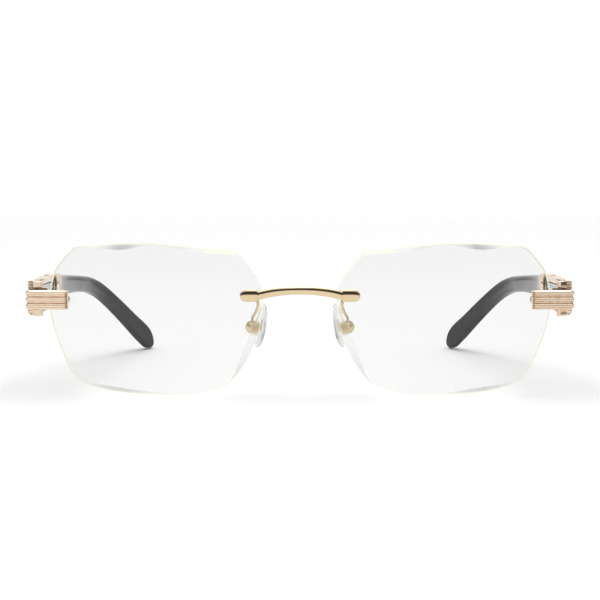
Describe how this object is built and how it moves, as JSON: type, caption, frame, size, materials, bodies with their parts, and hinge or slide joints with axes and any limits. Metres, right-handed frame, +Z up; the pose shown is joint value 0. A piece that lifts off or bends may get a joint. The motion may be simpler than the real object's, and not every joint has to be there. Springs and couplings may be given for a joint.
{
  "type": "rimless eyeglasses",
  "caption": "Rimless eyeglasses with bevelled clear lenses, reeded gold endpieces, adjustable nose pads and folding black temples.",
  "frame": {"origin": "the middle of the glasses' footprint, on the surface they stand on: under the lower edges of the lenses and the temple tips", "axes": "+X to the wearer's left, across the lenses; the lenses face -Y and the temples run to +Y; +Z up"},
  "size_m": [0.1486, 0.1373, 0.0403],
  "materials": {
    "lens": "polished",
    "gold": "polished",
    "rose_gold": "satin",
    "steel": "satin",
    "clear": "clear",
    "silicone": "clear satin",
    "black": "gloss"
  },
  "bodies": {
    "front": {"bridge": "gold", "lens_left": "lens", "lens_right": "lens", "bridge_bushing_left": "clear", "bridge_bushing_right": "clear", "bridge_screw_left": "steel", "bridge_screw_right": "steel", "endpiece_bushing_left": "clear", "endpiece_bushing_right": "clear", "endpiece_screw_left": "steel", "endpiece_screw_right": "steel", "endpiece_left": "rose_gold", "endpiece_right": "rose_gold", "front_hinge_left": "rose_gold", "front_hinge_right": "rose_gold", "hinge_screw_left": "steel", "hinge_screw_right": "steel", "pad_arm_left": "gold", "pad_arm_right": "gold", "pad_box_left": "gold", "pad_box_right": "gold", "pad_screw_left": "gold", "pad_screw_right": "gold"},
    "nose_pad_left": {"pad_insert_left": "gold", "nose_pad_left": "silicone"},
    "nose_pad_right": {"pad_insert_right": "gold", "nose_pad_right": "silicone"},
    "temple_left": {"temple_cap_left": "rose_gold", "temple_trim_left": "rose_gold", "temple_collar_left": "rose_gold", "temple_arm_left": "black", "temple_core_left": "steel", "temple_rivet_left": "steel"},
    "temple_right": {"temple_cap_right": "rose_gold", "temple_trim_right": "rose_gold", "temple_collar_right": "rose_gold", "temple_arm_right": "black", "temple_core_right": "steel", "temple_rivet_right": "steel"}
  },
  "joints": [
    {"name": "temple_left_fold", "type": "hinge", "parent": "front", "child": "temple_left", "pos_m": [0.07, -0.0575, 0.0252], "axis": [0, 0, 1], "range_deg": [0, 80]},
    {"name": "temple_right_fold", "type": "hinge", "parent": "front", "child": "temple_right", "pos_m": [-0.07, -0.0575, 0.0252], "axis": [0, 0, -1], "range_deg": [0, 74]},
    {"name": "pad_left_rock", "type": "hinge", "parent": "front", "child": "nose_pad_left", "pos_m": [0.0129, -0.05805, 0.0179], "axis": [0, 1, 0], "range_deg": [-8, 8]},
    {"name": "pad_right_rock", "type": "hinge", "parent": "front", "child": "nose_pad_right", "pos_m": [-0.0129, -0.05805, 0.0179], "axis": [0, -1, 0], "range_deg": [-8, 8]}
  ]
}
